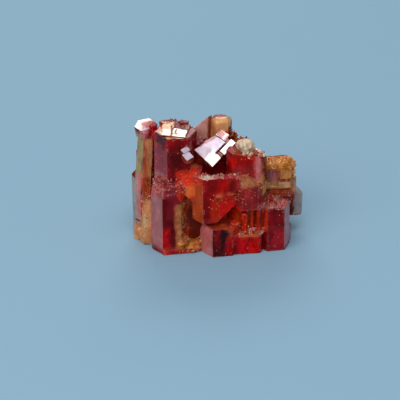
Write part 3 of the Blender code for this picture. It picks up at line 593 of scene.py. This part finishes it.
def crystal_colour(tree, place, tint, ribs, ribbed):
    """The zones' tint, mottled and streaked, with small pale flecks strewn over it."""
    mottle = add_node(
        tree, "ShaderNodeTexNoise", {"Scale": 1 / MOTTLE_SIZE, "Detail": 4.0, "Roughness": 0.6}, Vector=place
    )
    light = add_node(
        tree, "ShaderNodeMapRange", {"From Min": 0.3, "From Max": 0.7, "To Min": 0.74, "To Max": 1.18},
        Value=mottle.outputs["Fac"],
    )
    streak = add_node(
        tree, "ShaderNodeMapRange", {"From Min": 0.3, "From Max": 0.7, "To Min": -0.4, "To Max": 0.4},
        Value=ribs,
    )
    streaked = add_node(
        tree, "ShaderNodeMath", {"operation": "MULTIPLY_ADD"}, i0=streak.outputs[0], i1=ribbed,
        i2=light.outputs[0],
    )
    shade = add_node(
        tree, "ShaderNodeVectorMath", {"operation": "SCALE"}, i0=tint, Scale=streaked.outputs[0]
    )
    specks = add_node(tree, "ShaderNodeTexVoronoi", {"Scale": 1 / FLECK_SPACING}, Vector=place)
    speck = add_node(
        tree, "ShaderNodeMapRange", {"From Min": 0.10, "From Max": 0.17, "To Min": 1.0, "To Max": 0.0},
        Value=specks.outputs["Distance"],
    )
    strewn = add_node(
        tree, "ShaderNodeMapRange", {"From Min": 0.46, "From Max": 0.58, "To Max": 0.75},
        Value=mottle.outputs["Fac"],
    )
    fleck = add_node(
        tree, "ShaderNodeMath", {"operation": "MULTIPLY"}, i0=speck.outputs[0], i1=strewn.outputs[0]
    )
    flecked = add_node(
        tree, "ShaderNodeMix", {"data_type": "RGBA", 7: linear("#f0c0b0")}, i0=fleck.outputs[0],
        i6=shade.outputs[0],
    )
    return flecked.outputs[2], fleck.outputs[0]


def crystal_clearness(tree, place, clear, fleck):
    """How much light goes through: less in the cloudy veils, and none where a fleck lies."""
    tall = add_node(tree, "ShaderNodeMapping", {"Scale": (1.0, 1.0, VEIL_STRETCH)}, Vector=place)
    veils = add_node(
        tree, "ShaderNodeTexNoise", {"Scale": 1 / VEIL_SIZE, "Detail": 4.0, "Roughness": 0.6},
        Vector=tall.outputs[0],
    )
    see_through = add_node(
        tree, "ShaderNodeMapRange", {"From Min": 0.46, "From Max": 0.66, "To Min": 1.08, "To Max": 0.45},
        Value=veils.outputs["Fac"],
    )
    open_clear = add_node(
        tree, "ShaderNodeMath", {"operation": "MULTIPLY", "use_clamp": True}, i0=see_through.outputs[0],
        i1=clear,
    )
    clean = add_node(tree, "ShaderNodeMath", {"operation": "SUBTRACT", 0: 1.0}, i1=fleck)
    return add_node(
        tree, "ShaderNodeMath", {"operation": "MULTIPLY"}, i0=open_clear.outputs[0], i1=clean.outputs[0]
    ).outputs[0]


def crystal_surface(tree, place, ribs, rough, ribbed):
    """The roughness and the bump: grit on rough faces and fine ribs on ribbed ones."""
    grit = add_node(
        tree, "ShaderNodeTexNoise", {"Scale": 1 / GRIT_SIZE, "Detail": 4.0, "Roughness": 0.7}, Vector=place
    )
    gloss = add_node(tree, "ShaderNodeMapRange", {"To Min": 0.06, "To Max": 0.5}, Value=rough)
    uneven = add_node(
        tree, "ShaderNodeMath", {"operation": "MULTIPLY_ADD", 1: 0.12}, i0=grit.outputs["Fac"],
        i2=gloss.outputs[0],
    )
    rib_height = add_node(tree, "ShaderNodeMath", {"operation": "MULTIPLY"}, i0=ribs, i1=ribbed)
    grit_height = add_node(
        tree, "ShaderNodeMath", {"operation": "MULTIPLY_ADD"}, i0=grit.outputs["Fac"], i1=rough,
        i2=rib_height.outputs[0],
    )
    bump = add_node(
        tree, "ShaderNodeBump", {"Strength": 0.5, "Distance": BUMP_HEIGHT}, Height=grit_height.outputs[0]
    )
    return uneven.outputs[0], bump.outputs[0]


def crystal_shine(tree, place, polished):
    """How strong the coat is: polish comes and goes a little, so that a face glints in points."""
    shimmer = add_node(tree, "ShaderNodeTexNoise", {"Scale": 1 / SHIMMER_SIZE, "Detail": 2.0}, Vector=place)
    glint = add_node(
        tree, "ShaderNodeMapRange", {"From Min": 0.42, "From Max": 0.62, "To Min": 0.6, "To Max": 1.4},
        Value=shimmer.outputs["Fac"],
    )
    return add_node(
        tree, "ShaderNodeMath", {"operation": "MULTIPLY", "use_clamp": True}, i0=polished,
        i1=glint.outputs[0],
    ).outputs[0]


def crystal_material():
    made = bpy.data.materials.new("vanadinite_grown_crystal")
    made.use_nodes = True
    tree = made.node_tree
    shader = tree.nodes["Principled BSDF"]
    place = add_node(tree, "ShaderNodeTexCoord").outputs["Object"]
    tint = add_node(tree, "ShaderNodeAttribute", {"attribute_name": "tint"}).outputs["Color"]
    finish = add_node(tree, "ShaderNodeAttribute", {"attribute_name": "finish"})
    parts = add_node(tree, "ShaderNodeSeparateColor", Color=finish.outputs["Color"])
    clear, rough, ribbed = (parts.outputs[i] for i in range(3))
    stretched = add_node(tree, "ShaderNodeMapping", {"Scale": (1.0, 1.0, RIB_STRETCH)}, Vector=place)
    ribs = add_node(
        tree, "ShaderNodeTexNoise", {"Scale": 1 / RIB_WIDTH, "Detail": 3.0}, Vector=stretched.outputs[0]
    ).outputs["Fac"]

    colour, fleck = crystal_colour(tree, place, tint, ribs, ribbed)
    roughness, bump = crystal_surface(tree, place, ribs, rough, ribbed)
    tree.links.new(colour, shader.inputs["Base Color"])
    tree.links.new(roughness, shader.inputs["Roughness"])
    tree.links.new(bump, shader.inputs["Normal"])
    tree.links.new(crystal_clearness(tree, place, clear, fleck), shader.inputs["Transmission Weight"])
    tree.links.new(crystal_shine(tree, place, finish.outputs["Alpha"]), shader.inputs["Coat Weight"])

    shader.inputs["Coat IOR"].default_value = 2.3
    shader.inputs["Coat Roughness"].default_value = 0.05
    shader.inputs["IOR"].default_value = 1.6
    shader.inputs["Specular IOR Level"].default_value = 0.1
    shader.inputs["Specular Tint"].default_value = linear("#b06060")
    shader.inputs["Subsurface Weight"].default_value = 0.5
    shader.inputs["Subsurface Radius"].default_value = (1.0, 0.18, 0.12)
    shader.inputs["Subsurface Scale"].default_value = 1.0 * MM
    absorb = add_node(
        tree, "ShaderNodeVolumeAbsorption", {"Color": linear("#f8604a"), "Density": 150.0}
    )
    tree.links.new(absorb.outputs[0], tree.nodes["Material Output"].inputs["Volume"])
    return made


vanadinite = crystal_material()


def keep_piece(mesh, name, finish, node):
    """Makes a mesh a piece of the scene that rides on the one body."""
    piece = bpy.data.objects.new(name, mesh)
    bpy.context.scene.collection.objects.link(piece)
    piece.data.materials.append(finish)
    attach(piece, "root")
    if node:
        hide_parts(node)
    return piece


cluster = keep_piece(cluster_mesh, "vanadinite_cluster", vanadinite, CLUSTER)
print("cluster piece:", len(cluster.data.polygons), "triangles")

# %% [markdown]
# When the big prisms had stopped, a second crop of tiny ones seeded itself on their ledges and
# broken places. They are what sparkles. Each one is a tapered six-sided prism, set on the skin
# by seeded chance, and all of them are joined in one mesh. A bed is a block like a zone.

# %% Second growth
SEED_CROP = 29
TAPER = 0.6
SINK = 0.2
SLIM, STOUT = 0.28, 0.5
LIFT = 0.5
SCATTER = 0.5
PINK = ("rose", "cherry", "rose", "blush")
COPPERY = ("copper", "rust", "honey")
GOLDEN = ("gold", "amber", "gold")

# name, middle, half size (x, y, z), count, length from and to in mm, colours, polished
BEDS = (
    ("front_left_crown", (-9.0, -8.6, 13.0), (3.2, 3.2, 1.2), 320, (0.12, 0.36), PINK, 0.3),
    ("front_left_break", (-6.6, -9.6, 5.2), (1.2, 1.6, 5.0), 120, (0.1, 0.3), COPPERY, 0.4),
    ("gap", (-5.2, -9.2, 1.6), (2.2, 1.8, 1.4), 100, (0.2, 0.5), ("honey", "copper", "orange"), 0.4),
    ("shoulder", (-5.2, -8.8, 14.6), (2.0, 1.6, 1.2), 50, (0.1, 0.25), ("brick", "rose", "scarlet"), 0.3),
    ("block_ledge", (-0.6, -9.4, 15.3), (4.6, 1.4, 0.4), 120, (0.1, 0.3), ("rose", "blush", "cream"), 0.9),
    ("block_step", (2.4, -9.8, 11.2), (2.2, 1.4, 0.9), 60, (0.1, 0.28), ("rust", "orange", "rose"), 0.3),
    ("right_shoulder", (6.4, -9.0, 13.8), (2.6, 1.8, 1.4), 90, (0.1, 0.3), COPPERY, 0.3),
    ("lower_right_top", (10.2, -6.2, 8.8), (3.2, 3.2, 0.5), 320, (0.12, 0.38), PINK, 0.3),
    ("wide_ledge", (6.0, -9.4, 4.1), (2.4, 1.4, 0.4), 110, (0.15, 0.4), ("blush", "rose", "orange"), 0.4),
    ("niche", (5.4, -8.4, 6.6), (2.8, 1.6, 2.0), 50, (0.1, 0.3), ("rust", "amber", "orange"), 0.2),
    ("foot_left", (-13.8, -5.0, 4.6), (1.2, 1.4, 4.4), 100, (0.1, 0.34), ("tan", "honey", "cream"), 0.6),
    ("column_foot", (-12.6, -4.2, 11.0), (1.2, 1.6, 3.0), 40, (0.1, 0.3), ("honey", "tan", "rust"), 0.4),
    ("cap_rim", (-7.8, -1.4, 22.6), (4.4, 2.4, 0.6), 110, (0.1, 0.3), ("rust", "wine", "rose"), 0.2),
    ("hollow_back", (-3.8, -1.6, 19.4), (1.8, 1.6, 1.4), 80, (0.2, 0.6), ("rose", "blush", "wine"), 0.3),
    ("behind_grain", (3.2, 0.0, 18.6), (2.2, 2.0, 1.4), 110, (0.2, 0.7), ("rust", "amber", "brown"), 0.2),
    ("strewn", (6.2, -6.8, 18.9), (2.0, 1.8, 0.7), 26, (0.4, 0.8), ("cream", "cream", "rust"), 0.9),
    ("skeletal_crown", (11.0, -3.0, 15.0), (3.6, 2.4, 1.0), 200, (0.1, 0.38), GOLDEN, 0.4),
    ("skeletal_face", (11.0, -3.8, 11.6), (3.4, 1.2, 2.6), 110, (0.1, 0.3), GOLDEN, 0.3),
    ("rear_tops", (-1.0, 6.0, 14.0), (12.0, 5.0, 4.5), 260, (0.2, 0.5), ("rust", "rose", "wine"), 0.3),
)
PALE = ("cream", "blush", "gold", "tan")
CLOUDY, CLEARER = 0.05, 0.15
SMALL_ROUGH = 0.05
OVERHANG = -0.3
PLATE_MATCH = 0.97
TURNED_TO_LIGHT = (0.1, 0.1, 0.1, 0.4, 1.0)


def tiny_crystal(bm, layers, base, direction, length, look, dice):
    """Adds one crystal that stands on base. look is its tint and finish."""
    stand = direction.to_track_quat("Z", "Y").to_matrix().to_4x4()
    spin = Matrix.Rotation(dice.uniform(0, math.pi), 4, "Z")
    middle = base + direction * length * (0.5 - SINK)
    radius = length * dice.uniform(SLIM, STOUT)
    made = bmesh.ops.create_cone(
        bm, cap_ends=True, segments=6, radius1=radius, radius2=radius * TAPER, depth=length,
        matrix=Matrix.Translation(middle) @ stand @ spin,
    )
    for face in {face for vert in made["verts"] for face in vert.link_faces}:
        for loop in face.loops:
            for layer, value in zip(layers, look):
                loop[layer] = value


def bed_faces(bm_skin, middle, half):
    """The skin's faces in a block, without those that hang over and the shining plates."""
    return [
        face for face in bm_skin.faces
        if face.normal.z > OVERHANG and face.normal.dot(PLATE_OUT) < PLATE_MATCH and all(
            abs(c / MM - m) < h for c, m, h in zip(face.calc_center_median(), middle, half)
        )
    ]


def second_growth(bm_skin):
    dice = random.Random(SEED_CROP)
    bm = bmesh.new()
    layers = [bm.loops.layers.float_color.new(label) for label in ("tint", "finish")]
    for name, middle, half, count, lengths, colours, polished in BEDS:
        bed = bed_faces(bm_skin, middle, half)
        if not bed:
            print("no skin in the bed", name)
            continue
        for face in dice.choices(bed, weights=[face.calc_area() for face in bed], k=count):
            a, b, c = (vert.co for vert in face.verts)
            u, v = sorted((dice.random(), dice.random()))
            base = a * u + b * (v - u) + c * (1 - v)
            lean = Vector([dice.uniform(-SCATTER, SCATTER) for _ in range(3)])
            direction = (face.normal + UP * LIFT + lean).normalized()
            growth = dice.choice(colours)
            colour = [c * dice.uniform(0.8, 1.0) for c in linear(PALETTE[growth])[:3]] + [1]
            clear = CLOUDY if growth in PALE else CLEARER
            finish = (clear, SMALL_ROUGH, 0.0, polished * dice.choice(TURNED_TO_LIGHT))
            length = dice.uniform(*lengths) * MM
            tiny_crystal(bm, layers, base, direction, length, (colour, finish), dice)
    mesh = bpy.data.meshes.new("second_growth")
    bm.to_mesh(mesh)
    bm.free()
    return mesh


crop = keep_piece(second_growth(skin), "second_growth", vanadinite, None)
print("second growth:", sum(bed[3] for bed in BEDS), "crystals,", len(crop.data.polygons), "faces")

# %% [markdown]
# The grain is barite, a soft pale mineral. It broke rather than grew into faces, so its skin is
# worn and sugary, with a darker iron stain in patches. Its underside is drawn down a little, so
# that it sits on the crystal below and no gap shows.

# %% Barite grain
GRAIN_FINE = 0.22
GRAIN_WEAR = 0.2
GRAIN_LUMPS = 0.8
GRAIN_SETTLE = 0.25
STAIN_SIZE = 1.1 * MM
SUGAR_SIZE = 0.2 * MM
SUGAR_HEIGHT = 0.08 * MM


def barite_material():
    made = bpy.data.materials.new("barite_worn_grain")
    made.use_nodes = True
    tree = made.node_tree
    shader = tree.nodes["Principled BSDF"]
    place = add_node(tree, "ShaderNodeTexCoord").outputs["Object"]
    stain = add_node(
        tree, "ShaderNodeTexNoise", {"Scale": 1 / STAIN_SIZE, "Detail": 5.0, "Roughness": 0.65}, Vector=place
    )
    ramp = add_node(tree, "ShaderNodeValToRGB", Fac=stain.outputs["Fac"])
    stops = ramp.color_ramp.elements
    stops[0].position, stops[0].color = 0.36, linear("#a87c5c")
    stops[1].position, stops[1].color = 0.62, linear("#f2dcba")
    tree.links.new(ramp.outputs[0], shader.inputs["Base Color"])
    sugar = add_node(tree, "ShaderNodeTexNoise", {"Scale": 1 / SUGAR_SIZE, "Detail": 4.0}, Vector=place)
    bump = add_node(
        tree, "ShaderNodeBump", {"Strength": 0.6, "Distance": SUGAR_HEIGHT}, Height=sugar.outputs["Fac"]
    )
    tree.links.new(bump.outputs[0], shader.inputs["Normal"])
    shader.inputs["IOR"].default_value = 1.64
    shader.inputs["Roughness"].default_value = 0.3
    shader.inputs["Subsurface Weight"].default_value = 0.4
    shader.inputs["Subsurface Radius"].default_value = (1.0, 0.6, 0.4)
    shader.inputs["Subsurface Scale"].default_value = 0.6 * MM
    return made


def worn_grain():
    bm = merged_copy(GRAIN)
    refine(bm, GRAIN_FINE, every_face)
    for vert in bm.verts:
        lump = noise.fractal(vert.co / (GRAIN_LUMPS * MM), *JAGGED)
        vert.co += vert.normal * GRAIN_WEAR * MM * lump
        vert.co.z += GRAIN_SETTLE * MM * min(vert.normal.z, 0)
    mesh = bpy.data.meshes.new("barite_grain")
    bm.to_mesh(mesh)
    bm.free()
    mesh.validate()
    return mesh


grain = keep_piece(worn_grain(), "barite_grain", barite_material(), GRAIN)
print("grain:", len(grain.data.polygons), "triangles")
